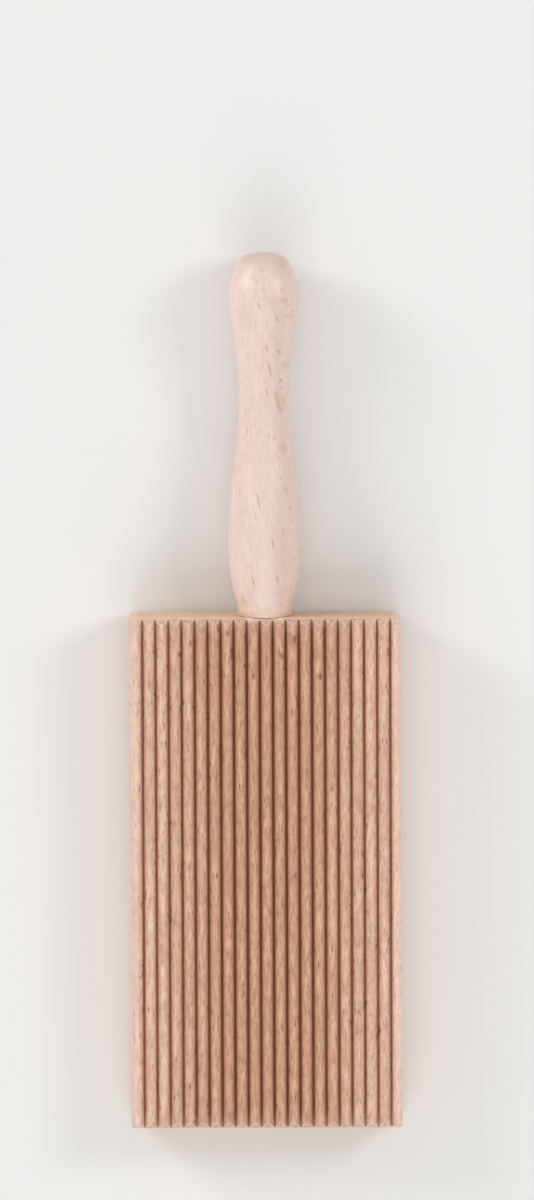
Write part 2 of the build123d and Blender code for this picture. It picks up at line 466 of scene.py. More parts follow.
def upright_arc(upright, other):
    """Centre and radius of the arc through two points that runs along the axis at the first one."""
    swell = upright[0] - other[0]
    rise = upright[1] - other[1]
    radius = (swell ** 2 + rise ** 2) / (2 * abs(swell))
    return np.array([upright[0] - np.sign(swell) * radius, upright[1]]), radius


def arc_points(centre, start, end):
    """Points of the arc about centre from start to end, about OUTLINE_STEP apart."""
    start, end = np.array(start), np.array(end)
    radius = np.hypot(*(start - centre))
    angles = np.unwrap([np.arctan2(*(point - centre)[::-1]) for point in (start, end)])
    count = int(abs(np.diff(angles)[0]) * radius / OUTLINE_STEP) + 2
    turned = np.linspace(*angles, count)
    return centre + radius * np.stack([np.cos(turned), np.sin(turned)], axis=-1)


def sweep(wide, narrow, share):
    """Two tangent arcs from one place to the other, meeting a share of the way between them."""
    middle = np.array(wide) + share * (np.array(narrow) - np.array(wide))
    first, _ = upright_arc(wide, middle)
    second, _ = upright_arc(narrow, middle)
    return np.vstack([arc_points(first, wide, middle), arc_points(second, middle, narrow)])


def foot_to_belly():
    """The foot's straight side runs through a hollow arc into the arc that ends at the belly."""
    low, low_radius = upright_arc(BELLY, FOOT)
    blend_x = FOOT[0] + FOOT_BLEND_RADIUS
    touching = low_radius + FOOT_BLEND_RADIUS
    blend = np.array([blend_x, low[1] - np.sqrt(touching ** 2 - (blend_x - low[0]) ** 2)])
    leaves_blend = low + (blend - low) * low_radius / np.hypot(*(blend - low))
    hollow = arc_points(blend, (FOOT[0], blend[1]), leaves_blend)
    return np.vstack([hollow, arc_points(low, leaves_blend, BELLY)])


def crossing(first, first_radius, second, second_radius):
    """Where two circles cross, the higher of the two places."""
    apart = second - first
    between = np.hypot(*apart)
    along = (first_radius ** 2 - second_radius ** 2 + between ** 2) / (2 * between)
    across = np.sqrt(first_radius ** 2 - along ** 2)
    upwards = np.array([-apart[1], apart[0]]) * np.sign(apart[0]) / between
    return first + apart * along / between + upwards * across


def knob_to_tip():
    """From the knob's widest place over the softened edge and the domed end to the tip, which
    is left out, because it is the skin's pole."""
    knob, knob_radius = upright_arc(KNOB, CROWN_EDGE)
    dome_rise = TIP[1] - CROWN_EDGE[1]
    dome_radius = (CROWN_EDGE[0] ** 2 + dome_rise ** 2) / (2 * dome_rise)
    dome = np.array([0.0, TIP[1] - dome_radius])
    to_knob, to_dome = knob_radius - CROWN_EDGE_RADIUS, dome_radius - CROWN_EDGE_RADIUS
    edge = crossing(knob, to_knob, dome, to_dome)
    leaves_knob = knob + (edge - knob) * knob_radius / to_knob
    meets_dome = dome + (edge - dome) * dome_radius / to_dome
    return np.vstack([
        arc_points(knob, KNOB, leaves_knob),
        arc_points(edge, leaves_knob, meets_dome),
        arc_points(dome, meets_dome, TIP)[:-1],
    ])


def handle_outline():
    """The half section from the tenon's end to the tip, as rows of (radius, height)."""
    tenon_and_rim = [
        (TENON_RADIUS - TENON_LEAD, -TENON_LENGTH), (TENON_RADIUS, TENON_LEAD - TENON_LENGTH),
        (TENON_RADIUS, 0), (FOOT[0] - RIM_BEVEL, 0), (FOOT[0], RIM_BEVEL),
    ]
    outline = np.vstack([
        tenon_and_rim,
        foot_to_belly(),
        sweep(BELLY, NECK, BELLY_TURN_SHARE),
        sweep(NECK, KNOB, NECK_TURN_SHARE),
        knob_to_tip(),
    ])
    steps = np.diff(outline, axis=0, prepend=outline[:1] - 1)
    return outline[np.hypot(*steps.T) > SAME_POINT] * MM


outline = handle_outline()
print("%d points in the outline, heights in mm:" % len(outline), outline[[0, -1], 1] / MM)

# %% [markdown]
# ## The handle
#
# Turning the outline about its axis gives the handle. Afterwards it is compared with the
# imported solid: how far that solid's points are from the axis has to match the outline.

# %% Handle
POINTS_AROUND = 128


def handle_skin():
    """Each point of the outline taken round the axis: x = r cos a, z = axis height + r sin a."""
    angles = np.arange(POINTS_AROUND) * 2 * pi / POINTS_AROUND
    radius, height = outline[:, :1], outline[:, 1:]
    x = radius * np.cos(angles)
    z = AXIS_HEIGHT + radius * np.sin(angles)
    y = np.broadcast_to(height, x.shape)
    poles = np.array([[0, -TENON_LENGTH * MM, AXIS_HEIGHT], [0, TIP[1] * MM, AXIS_HEIGHT]])
    return np.stack([x, y, z], axis=-1), poles


handle_loops, handle_poles = handle_skin()
handle = closed_skin("beech_handle", to_frame(handle_loops), *to_frame(handle_poles))

solid = corners_of("turned_handle") - origin
radius, height = np.hypot(solid[:, 0], solid[:, 2] - AXIS_HEIGHT), solid[:, 1]
gaps = np.abs(radius - np.interp(height, outline[:, 1], outline[:, 0]))
side = (height > FOOT[1] * MM) & (height < CROWN_EDGE[1] * MM)
print("largest gap to the packed handle's side: %.3f mm" % (gaps[side].max() / MM))

# %% [markdown]
# ## Tools for building materials
#
# A material is a small program drawn as nodes. A few helpers keep the recipes short: one adds
# a node and wires or sets its sockets, some do arithmetic, one makes soft-edged masks, and
# one lays colours over each other like coats of paint.

# %% Node helpers


def add(tree, kind, sockets=None, **settings):
    """Add a node. Settings are its options, sockets its inputs by name or number, each given as
    a value or as another node's output."""
    made = tree.nodes.new(kind)
    for name, value in settings.items():
        setattr(made, name, value)
    for name, value in (sockets or {}).items():
        if isinstance(value, bpy.types.NodeSocket):
            tree.links.new(value, made.inputs[name])
        else:
            made.inputs[name].default_value = value
    return made


def maths(tree, operation, *values):
    """The result of one arithmetic node on up to three values."""
    return add(tree, "ShaderNodeMath", dict(enumerate(values)), operation=operation).outputs[0]


def times(tree, first, second):
    """The product of two values."""
    return maths(tree, "MULTIPLY", first, second)


def vector_maths(tree, operation, *values):
    """The result of one vector arithmetic node, a vector, or a value for LENGTH."""
    made = add(tree, "ShaderNodeVectorMath", dict(enumerate(values)), operation=operation)
    return made.outputs["Value" if operation == "LENGTH" else "Vector"]


def parts_of(tree, vector):
    """The x, y and z of a vector."""
    return add(tree, "ShaderNodeSeparateXYZ", {0: vector}).outputs


def mask(tree, value, low, high, to_low=0.0, to_high=1.0):
    """A value carried smoothly from to_low to to_high as it goes from low to high."""
    sockets = {"Value": value, 1: low, 2: high, 3: to_low, 4: to_high}
    return add(tree, "ShaderNodeMapRange", sockets, interpolation_type="SMOOTHSTEP").outputs[0]


def blend(tree, factor, first, second):
    """Two colours mixed by a factor."""
    sockets = {0: factor, 6: first, 7: second}
    return add(tree, "ShaderNodeMix", sockets, data_type="RGBA").outputs[2]


def coats(tree, colour, *layers):
    """A colour with others laid over it in turn, each given as (factor, more factors, colour)."""
    for factor, *others, laid in layers:
        for other in others:
            factor = times(tree, factor, other)
        colour = blend(tree, factor, colour, laid)
    return colour


def noise(tree, vector, size, detail=2.0, roughness=0.5):
    """Smooth noise whose features have a given size along each axis."""
    in_sizes = vector_maths(tree, "DIVIDE", vector, size)
    sockets = {"Vector": in_sizes, "Scale": 1.0, "Detail": detail, "Roughness": roughness}
    return add(tree, "ShaderNodeTexNoise", sockets).outputs[0]


def new_group(name, values, results):
    """An empty shader node group that takes a Vector and named values and gives named numbers."""
    group = bpy.data.node_groups.new(name, "ShaderNodeTree")
    group.interface.new_socket(name="Vector", in_out="INPUT", socket_type="NodeSocketVector")
    for socket, value in values.items():
        kind = "NodeSocketVector" if isinstance(value, tuple) else "NodeSocketFloat"
        made = group.interface.new_socket(name=socket, in_out="INPUT", socket_type=kind)
        made.default_value = value
    for socket in results:
        group.interface.new_socket(name=socket, in_out="OUTPUT", socket_type="NodeSocketFloat")
    print(name, "takes", ", ".join(values), "and gives", ", ".join(results))
    given = group.nodes.new("NodeGroupInput").outputs
    return group, given, group.nodes.new("NodeGroupOutput").inputs


def srgb(red, green, blue):
    """A colour picked on screen, 0 to 255, as the linear values that shaders use."""
    share = np.array([red, green, blue]) / 255
    linear = np.where(share <= 0.04045, share / 12.92, ((share + 0.055) / 1.055) ** 2.4)
    return (*linear.tolist(), 1.0)


# %% [markdown]
# ## What beech looks like
#
# Beech is pale, even and fine. What gives it away are its rays: thin ribbons of tissue that
# run from the heart of the tree outwards. Where the saw cuts across them they show as short
# dark flecks along the grain, and where it cuts beside them they spread into small sheets. A
# pattern in solid space, long in the ray's direction and thin across it, gives both kinds by
# itself, wherever the surface happens to cut it.
#
# The patterns are written for grain along y and rays along z, and each material turns its own
# coordinates to suit its stick.

# %% Ray flecks
FLECK_HALF_SIZE = (0.2, 0.33, 0.5)
FLECK_SCATTER = 0.85
SMALLEST_FLECK = 0.35
FAINTEST_FLECK = 0.25
FLECK_FADE = 0.4
WANDER = 0.0014
WANDER_SCALE = 160.0


def ray_fleck_group():
    """Lens-shaped flecks, at most one round the point of each cell of a Voronoi pattern.

    Size is a cell's width across the grain, its length along it and its depth along the ray.
    With (dx, dy, dz) the way from the cell's point, in half sizes of a fleck, a place is
    inside the fleck where |dx| + dy^2 + dz^2 is under the fleck's own size. The first term
    isn't squared, and that points the ends. A share of the cells, 1 - Density, has none. A
    slow noise moves everything by up to half of WANDER sideways, so no row runs straight.
    """
    values = {"Size": (0.0011, 0.0045, 0.004), "Density": 0.5}
    group, given, out = new_group("Beech ray flecks", values, ["Fleck"])
    sockets = {"Vector": given["Vector"], "Scale": WANDER_SCALE, "Detail": 1.0}
    slow = add(group, "ShaderNodeTexNoise", sockets).outputs["Color"]
    sideways = vector_maths(group, "MULTIPLY_ADD", slow, (WANDER, 0, 0), (-WANDER / 2, 0, 0))
    place = vector_maths(group, "ADD", given["Vector"], sideways)
    cells = vector_maths(group, "DIVIDE", place, given["Size"])
    sockets = {"Vector": cells, "Scale": 1.0, "Randomness": FLECK_SCATTER}
    voronoi = add(group, "ShaderNodeTexVoronoi", sockets).outputs
    away = vector_maths(group, "SUBTRACT", cells, voronoi["Position"])
    away = vector_maths(group, "DIVIDE", away, FLECK_HALF_SIZE)
    dx, dy, dz = parts_of(group, vector_maths(group, "ABSOLUTE", away))
    lens = maths(group, "MULTIPLY_ADD", dz, dz, maths(group, "MULTIPLY_ADD", dy, dy, dx))
    chance = add(group, "ShaderNodeSeparateColor", {0: voronoi["Color"]}).outputs
    there = maths(group, "LESS_THAN", chance[0], given["Density"])
    own_size = maths(group, "MULTIPLY_ADD", chance[1], 1 - SMALLEST_FLECK, SMALLEST_FLECK)
    shape = mask(group, maths(group, "SUBTRACT", own_size, lens), 0.0, FLECK_FADE)
    squared = times(group, chance[2], chance[2])
    strength = maths(group, "MULTIPLY_ADD", squared, 1 - FAINTEST_FLECK, FAINTEST_FLECK)
    group.links.new(times(group, times(group, shape, strength), there), out["Fleck"])
    return group


ray_flecks = ray_fleck_group()

# %% [markdown]
# ## Growth rings and fibres
#
# A year's growth starts pale and ends in a thin darker line. Seen from the end of the stick
# the lines are arcs round the heart of the tree, so the ring pattern is just the distance
# from a line along y, the heart, counted in rings. The fibres are noise drawn out along the
# grain, and a broad, slow tone lets one stick vary as real planks do.

# %% Rings, fibres and tone
DRIFT = 0.005
DRIFT_PATCH = (0.012, 0.05, 0.012)
COARSE_FIBRE = (0.0006, 0.0036, 0.0006)
FINE_FIBRE = (0.00016, 0.0028, 0.00016)
FINE_SHARE = 0.35
TONE_PATCH = (0.006, 0.045, 0.006)


def figure_group():
    """Growth rings, fibres and broad tone, each from 0 to 1.

    Rings: the distance from the heart, in ring widths, with some drift. Its fraction rises
    slowly and falls at once, which leaves a dark line at the end of each year.
    """
    values = {"Heart": (0.0, 0.0, -0.09), "Ring Width": 0.0022}
    group, given, out = new_group("Beech figure", values, ["Rings", "Fibres", "Tone"])
    place = given["Vector"]
    from_heart = vector_maths(group, "SUBTRACT", place, given["Heart"])
    across = vector_maths(group, "MULTIPLY", from_heart, (1, 0, 1))
    distance = vector_maths(group, "LENGTH", across)
    drift = noise(group, place, DRIFT_PATCH, detail=1.0)
    distance = maths(group, "MULTIPLY_ADD", drift, DRIFT, distance)
    year = maths(group, "FRACT", maths(group, "DIVIDE", distance, given["Ring Width"]))
    late = times(group, mask(group, year, 0.25, 0.9), mask(group, year, 0.93, 1.0, 1.0, 0.0))
    coarse = noise(group, place, COARSE_FIBRE, detail=3.0, roughness=0.6)
    coarse = times(group, coarse, 1 - FINE_SHARE)
    fine = noise(group, place, FINE_FIBRE)
    fibres = maths(group, "MULTIPLY_ADD", fine, FINE_SHARE, coarse)
    tone = noise(group, place, TONE_PATCH)
    group.links.new(late, out["Rings"])
    group.links.new(mask(group, fibres, 0.3, 0.7), out["Fibres"])
    group.links.new(mask(group, tone, 0.3, 0.7), out["Tone"])
    return group


figure = figure_group()

# %% [markdown]
# ## Pores and small scars
#
# A cutter doesn't leave wood perfectly clean. Pores fill with dust and small fibres tear, which
# shows as short soft dashes along the grain, darker and less regular than the ray flecks. They
# are the peaks of a drawn-out noise: only where it goes over a limit does a dash show, so the
# higher the limit, the fewer and smaller they are.

# %% Soft dashes
DASH_FADE = 0.1


def dash_group():
    """Soft dashes, from 0 to 1, where a drawn-out noise rises from Limit to Limit + DASH_FADE."""
    values = {"Size": (0.0008, 0.0024, 0.003), "Limit": 0.6}
    group, given, out = new_group("Beech dashes", values, ["Dash"])
    drawn_out = noise(group, given["Vector"], given["Size"], roughness=0.6)
    over = maths(group, "SUBTRACT", drawn_out, given["Limit"])
    group.links.new(mask(group, over, 0.0, DASH_FADE), out["Dash"])
    return group


dashes = dash_group()

# %% [markdown]
# ## Marks that only this tool has
#
# Patterns give the right kind of wood, but the larger scars and stains are what a person would
# know this very tool by. Each is a soft spot round a known place. A shape as smooth as an egg
# would look painted on, so a noise that is drawn out along the grain eats into its edge.

# %% Soft spots
SPOT_EDGE = (1.55, 2.45)


def spot_group():
    """A spot of a given Strength round Centre that fades at about Size.

    The distance from the centre, in sizes, is 1 there. Ragged is a noise round 0.5, and twice
    its value is added, so the sum is near 2 at the spot's edge and it fades over SPOT_EDGE.
    """
    values = {"Centre": (0, 0, 0), "Size": (MM, MM, MM), "Strength": 0.5, "Ragged": 0.5}
    group, given, out = new_group("Beech spot", values, ["Spot"])
    from_centre = vector_maths(group, "SUBTRACT", given["Vector"], given["Centre"])
    in_sizes = vector_maths(group, "DIVIDE", from_centre, given["Size"])
    away = vector_maths(group, "LENGTH", in_sizes)
    away = maths(group, "MULTIPLY_ADD", given["Ragged"], 2.0, away)
    group.links.new(mask(group, away, *SPOT_EDGE, given["Strength"], 0.0), out["Spot"])
    return group


spot = spot_group()

# %% [markdown]
# ## What the surface knows about itself
#
# Some marks follow the shape and not the wood: sanded edges are paler, the roots of the
# grooves keep the cutter's brown dust and get painted shade, and end grain is duller. A
# material can't see shape, but the formulas that made the mesh can, so they leave one number
# per point for it to read.

# %% Marks on the board's points
EDGE_FADE = 0.34 * MM
BEVEL_CLEARS = 0.15 * MM
SIDE_CLEARS = 0.4 * MM
SIDE_BAND = 1.6 * GROOVE_DEPTH
RIDGED_BAND = 1.05 * GROOVE_DEPTH
NARROWED = (0.45 * MM, 1.2 * MM)
NARROWING = 1.5


def board_marks(loops):
    """Edge, groove and end grain, from 0 to 1, for each point of the board and its two poles.

    Edge is 1 where a ridge meets the bevel or a long side and fades over EDGE_FADE. Groove is
    the depth under the crest over the full depth, but 0 on the bevel and where a long side
    opens a groove. Near the ends a power narrows it to the root. End grain is 1 on the end
    faces, and less on the bevels.
    """
    x, y, z = loops[..., 0], loops[..., 1], loops[..., 2]
    depth = np.minimum(-y, LENGTH + y)
    past_bevel = depth - bevel_reach(moulded_height(x) - SHOULDER)
    at_bevel = np.clip(1 - np.abs(past_bevel) / EDGE_FADE, 0, 1) * (z > SHOULDER)
    at_end = np.clip(1 - depth / EDGE_FADE, 0, 1) * (np.abs(z - SHOULDER) < EDGE_FADE)
    from_side = SIDE - np.abs(x)
    at_side = np.clip(1 - from_side / EDGE_FADE, 0, 1) * (z > THICK - SIDE_BAND)
    edge = np.maximum(np.maximum(at_bevel, at_end), at_side)

    on_top = (z > THICK - RIDGED_BAND) & (depth > 0)
    off_bevel = np.clip((SHOULDER + bevel_rise(depth) - z) / BEVEL_CLEARS, 0, 1)
    off_side = np.clip(from_side / SIDE_CLEARS - 1, 0, 1)
    near_end = np.interp(depth, NARROWED, (1, 0))
    sunk = np.clip((THICK - z) / GROOVE_DEPTH, 0, 1) ** (1 + NARROWING * near_end)
    groove = np.where(on_top, off_bevel * off_side * sunk, 0)
    end_grain = np.clip(1 - depth / blend_end, 0, 1) ** 0.5
    marks = {"edge": edge, "groove": groove, "end_grain": end_grain}
    return {name: np.append(mark, mark.flat[[0, -1]]) for name, mark in marks.items()}


for name, values in board_marks(board_loops).items():
    paint(board, name, values)
    print("%s: %.2f on average" % (name, values.mean()))

along = np.gradient(outline, axis=0)
handle_end = np.repeat(np.abs(along[:, 0]) / np.hypot(*along.T), POINTS_AROUND)
paint(handle, "end_grain", np.append(handle_end, [1, 1]))

# %% [markdown]
# ## From patterns to a stick of wood
#
# Both sticks are painted alike. The coordinates are turned square to the stick, and patterns go
# on, each with its own size. The fibres that colour the surface also set its roughness, and
# they and the flecks give it a relief of a few hundredths of a millimetre.

# %% Tools that the materials share
SPOT_DEPTH = 4.0
SPOT_GRAIN = (0.0006, 0.0016, 0.0006)


def place_in_board(tree, height=0.0, grain_lean=0.0, ray_turn=0.0):
    """Object coordinates square to the board, from a height over its back, turned to a stick's
    own grain: sideways by grain_lean and about the grain by ray_turn."""
    spin = Matrix.Rotation(lean, 3, "X") @ Matrix.Rotation(grain_lean, 3, "Z")
    sockets = {
        "Vector": add(tree, "ShaderNodeTexCoord").outputs["Object"],
        "Location": tuple(to_frame((0, 0, height))),
        "Rotation": tuple((spin @ Matrix.Rotation(ray_turn, 3, "Y")).to_euler()),
    }
    return add(tree, "ShaderNodeMapping", sockets, vector_type="TEXTURE").outputs[0]


def marked(tree, name):
    """The number that the mesh's points carry under this name."""
    return add(tree, "ShaderNodeAttribute", attribute_name=name).outputs["Fac"]


def new_material(name):
    """A material with a Principled shader, its node tree and that shader's inputs."""
    material = bpy.data.materials.new(name)
    material.use_nodes = True
    return material, material.node_tree, material.node_tree.nodes["Principled BSDF"].inputs


def place_group(tree, group, vector, values):
    """The outputs of a node group used at some coordinates with its own values."""
    return add(tree, "ShaderNodeGroup", {"Vector": vector, **values}, node_tree=group).outputs


def mixed_flecks(tree, vector, kinds):
    """Ray flecks of several kinds, each given as (how much, size, density)."""
    together = 0.0
    for share, size, density in kinds:
        values = {"Size": size, "Density": density}
        flecks = place_group(tree, ray_flecks, vector, values)["Fleck"]
        together = maths(tree, "MAXIMUM", times(tree, flecks, share), together)
    return together


def dashed(tree, vector, size, limit):
    """Soft dashes of one size over one limit."""
    return place_group(tree, dashes, vector, {"Size": size, "Limit": limit})["Dash"]


def spots(tree, vector, places, slant=0.0):
    """Spots as one mask, each (x, y, z, half width, half length, strength), in millimetres. The
    slant shears them: x moves by slant times y."""
    ragged = noise(tree, vector, SPOT_GRAIN, detail=3.0, roughness=0.6)
    along = parts_of(tree, vector)[1]
    sheared = vector_maths(tree, "MULTIPLY_ADD", along, (slant, 0, 0), vector)
    together = 0.0
    for x, y, z, width, length, strength in places:
        values = {
            "Centre": (MM * (x + slant * y), MM * y, MM * z),
            "Size": (MM * width, MM * length, MM * SPOT_DEPTH),
            "Strength": strength, "Ragged": ragged,
        }
        one = place_group(tree, spot, sheared, values)["Spot"]
        together = maths(tree, "MAXIMUM", one, together)
    return together


def bump(tree, height, distance):
    """A normal from a height that varies from 0 to 1 over the given distance."""
    sockets = {"Height": height, "Distance": distance, "Strength": 1.0}
    return add(tree, "ShaderNodeBump", sockets).outputs[0]


def wood_surface(tree, shader, colour, fibres, flecks, roughness, specular, relief):
    """Wire up a wood. Fibres make it smoother and stand out, and flecks lie deeper."""
    tree.links.new(colour, shader["Base Color"])
    tree.links.new(mask(tree, fibres, 0.0, 1.0, *roughness), shader["Roughness"])
    shader["Specular IOR Level"].default_value = specular
    height = maths(tree, "SUBTRACT", fibres, flecks)
    tree.links.new(bump(tree, height, relief), shader["Normal"])


# %% [markdown]
# ## The board's wood
#
# The board is cut flat from the plank, so its rays run up through its thickness and its
# ridges show short flecks. It is pinker and darker than the handle, and a colour gradient
# makes it darkest along its middle. Coats of colour go on from the plain wood up: bevels and
# end faces are duller, with growth rings and open pores, and the end faces get painted shade
# that darkens them to the right. Dust and painted shade brown the grooves and their flanks.
# Sanded edges are paler, and the wood right in front of the handle's foot is painted paler,
# as painted light that lifts the foot's shade.

# %% Board material
BOARD_PALE = srgb(253, 215, 194)
BOARD_MIDDLE = srgb(236, 188, 160)
BOARD_PINK = srgb(234, 176, 158)
BOARD_TAN = srgb(216, 182, 150)
BOARD_FIBRE = srgb(160, 104, 78)
BOARD_DASH = srgb(132, 84, 62)
BOARD_FLECK = srgb(128, 72, 52)
BOARD_RING = srgb(196, 150, 124)
FLANK_PAINTED_SHADE = srgb(160, 108, 80)
GROOVE_PALE = srgb(162, 106, 75)
GROOVE_MIDDLE = srgb(126, 75, 41)
END_LIT_SIDE = srgb(238, 207, 170)
END_SHADED_SIDE = srgb(223, 192, 156)
BEVEL_PINK = srgb(230, 193, 177)
EDGE_PALE = srgb(247, 219, 203)
FOOT_PAINTED_LIGHT = srgb(255, 226, 206)

BOARD_FINISH = {"roughness": (0.62, 0.5), "specular": 0.3, "relief": 0.00004}
BOARD_FIGURE = {"Heart": (0.01, 0.0, -0.11), "Ring Width": 0.0016}
BOARD_FLECKS = [(1.0, (0.0011, 0.0036, 0.007), 0.85), (0.6, (0.0007, 0.0022, 0.005), 0.9)]
SMALL_SCARS = ((0.0007, 0.0022, 0.003), 0.57)
TORN_FIBRES = ((0.0016, 0.0034, 0.003), 0.61)
PORES = ((0.0008, 0.0009, 0.0006), 0.53)
HUE_PATCH = (0.0016, 0.006, 0.0016)
MIDDLE_TO_OUTER = (0.006, 0.030)
LONG_EDGES = (0.0296, 0.0312)
PAINTED_LIGHT_UNDER_FOOT = (0.0035, 0.0052)
NEAR_END = -0.01
BOARD_SPOTS = [
    (-17.8, -5.9, 14, 0.36, 0.75, 0.5), (-20.3, -8.6, 14, 0.5, 0.6, 0.7),
    (-7.9, -7.6, 14, 0.4, 0.75, 0.8), (-4.8, -11.4, 14, 0.45, 0.5, 0.7),
    (-8.9, -3.5, 14, 0.45, 0.75, 0.5), (-2.8, -13.9, 14, 0.35, 0.75, 0.6),
    (7.2, -4.7, 14, 0.5, 1.0, 0.6), (13.3, -14.1, 14, 0.35, 0.75, 0.7),
    (0.4, -10.5, 14, 0.35, 1.5, 0.5), (4.1, -9.0, 14, 0.45, 0.75, 0.5),
    (-11.1, -2.3, 14, 0.28, 0.9, 0.7),
]


def wood_and_end_shade_coats(tree, inside, x, outer, end_grain, wood):
    """Wood coats: hues, fibres, scars, pink bevels and ringed end faces with painted shade."""
    hue = noise(tree, inside, HUE_PATCH)
    between_fibres = mask(tree, wood["Fibres"], 0.0, 1.0, 1.0, 0.0)
    # Painted shade: the end faces go from a lit colour on the left to a shaded one on the right.
    end_lit_to_shaded = blend(tree, mask(tree, x, -0.02, 0.02), END_LIT_SIDE, END_SHADED_SIDE)
    on_bevel = mask(tree, end_grain, 0.0, 0.6, 0.0, 0.4)
    off_face = mask(tree, end_grain, 0.8, 1.0, 1.0, 0.4)
    return [
        (outer, BOARD_PALE),
        (mask(tree, hue, 0.5, 0.7, 0.0, 0.5), BOARD_PINK),
        (mask(tree, hue, 0.5, 0.3, 0.0, 0.5), BOARD_TAN),
        (between_fibres, mask(tree, outer, 0.0, 1.0, 0.6, 0.36), BOARD_FIBRE),
        (dashed(tree, inside, *SMALL_SCARS), 0.32, BOARD_DASH),
        (end_grain, mask(tree, outer, 0.0, 1.0, 0.85, 0.5), BEVEL_PINK),
        (mask(tree, end_grain, 0.86, 1.0, 0.0, 0.75), end_lit_to_shaded),
        (wood["Rings"], 0.3, BOARD_RING),
        (dashed(tree, inside, *PORES), on_bevel, off_face, BOARD_DASH),
    ]


def wear_and_painted_light_coats(tree, inside, y, off_middle, outer, end_grain):
    """Wear and painted light: grooves with dust and painted shade, fibres, spots, pale places."""
    groove = marked(tree, "groove")
    # Painted shade: the flanks and roots of the grooves darken with depth; the roots also hold real
    # dust.
    flanks = mask(tree, groove, -0.15, 0.6, 0.0, 0.45)
    root_colour = blend(tree, outer, GROOVE_MIDDLE, GROOVE_PALE)
    beside = mask(tree, groove, 0.1, 0.35, 0.0, 0.6)
    sanded = times(tree, mask(tree, marked(tree, "edge"), 0.1, 1.0), 0.36)
    long_edges = mask(tree, off_middle, *LONG_EDGES, 0.0, 0.4)
    # Painted light: the bevel right in front of the handle's foot is made paler to lift the foot's
    # shade.
    painted_light_by_foot = mask(tree, off_middle, *PAINTED_LIGHT_UNDER_FOOT, 0.85, 0.0)
    on_bevel = mask(tree, end_grain, 0.78, 0.87)
    return [
        (flanks, mask(tree, outer, 0.0, 1.0, 1.7, 1.0), FLANK_PAINTED_SHADE),
        (mask(tree, groove, 0.35, 0.95, 0.0, 0.85), root_colour),
        (dashed(tree, inside, *TORN_FIBRES), beside, GROOVE_MIDDLE),
        (spots(tree, inside, BOARD_SPOTS), BOARD_FLECK),
        (maths(tree, "MAXIMUM", sanded, long_edges), EDGE_PALE),
        (painted_light_by_foot, on_bevel, maths(tree, "GREATER_THAN", y, NEAR_END), FOOT_PAINTED_LIGHT),
    ]


def board_beech():
    """Flat-sawn beech with dark groove roots, pale sanded edges and dull end grain."""
    material, tree, shader = new_material("board_beech")
    inside = place_in_board(tree)
    x, y, _ = parts_of(tree, inside)
    off_middle = maths(tree, "ABSOLUTE", x)
    # A colour gradient: the board and its groove roots are darkest along the middle, palest at the
    # sides.
    outer = mask(tree, off_middle, *MIDDLE_TO_OUTER)
    end_grain = marked(tree, "end_grain")
    wood = place_group(tree, figure, inside, BOARD_FIGURE)
    flecks = mixed_flecks(tree, inside, BOARD_FLECKS)
    flecks = times(tree, flecks, mask(tree, end_grain, 0.0, 1.0, 1.0, 0.3))
    colour = coats(
        tree, BOARD_MIDDLE,
        *wood_and_end_shade_coats(tree, inside, x, outer, end_grain, wood),
        (flecks, 0.85, BOARD_FLECK),
        *wear_and_painted_light_coats(tree, inside, y, off_middle, outer, end_grain),
    )
    wood_surface(tree, shader, colour, wood["Fibres"], flecks, **BOARD_FINISH)
    return material


board.data.materials.append(board_beech())
print("board material:", len(board.data.materials[0].node_tree.nodes), "nodes")

# %% [markdown]
# ## The handle's wood
#
# The handle is a paler, creamier stick. Its grain isn't quite true to its axis, so the flecks
# lean, and they spread into small sheets round on the right, where the surface runs beside
# the rays. That side is painted a little darker, partly a darker band of wood and partly
# painted shade. The foot is painted darker and warmer, as painted shade with warm light
# reflected from the board, and the tip is darker, partly duller end grain and partly painted
# shade.

# %% Handle material
HANDLE_PALE = srgb(245, 219, 207)
HANDLE_PINK = srgb(242, 213, 201)
HANDLE_SHADE = srgb(216, 188, 174)
HANDLE_FLECK = srgb(176, 132, 110)
HANDLE_SHEET = srgb(202, 160, 132)
HANDLE_FOOT_SHADE = srgb(226, 190, 166)
HANDLE_SCAR = srgb(203, 163, 138)

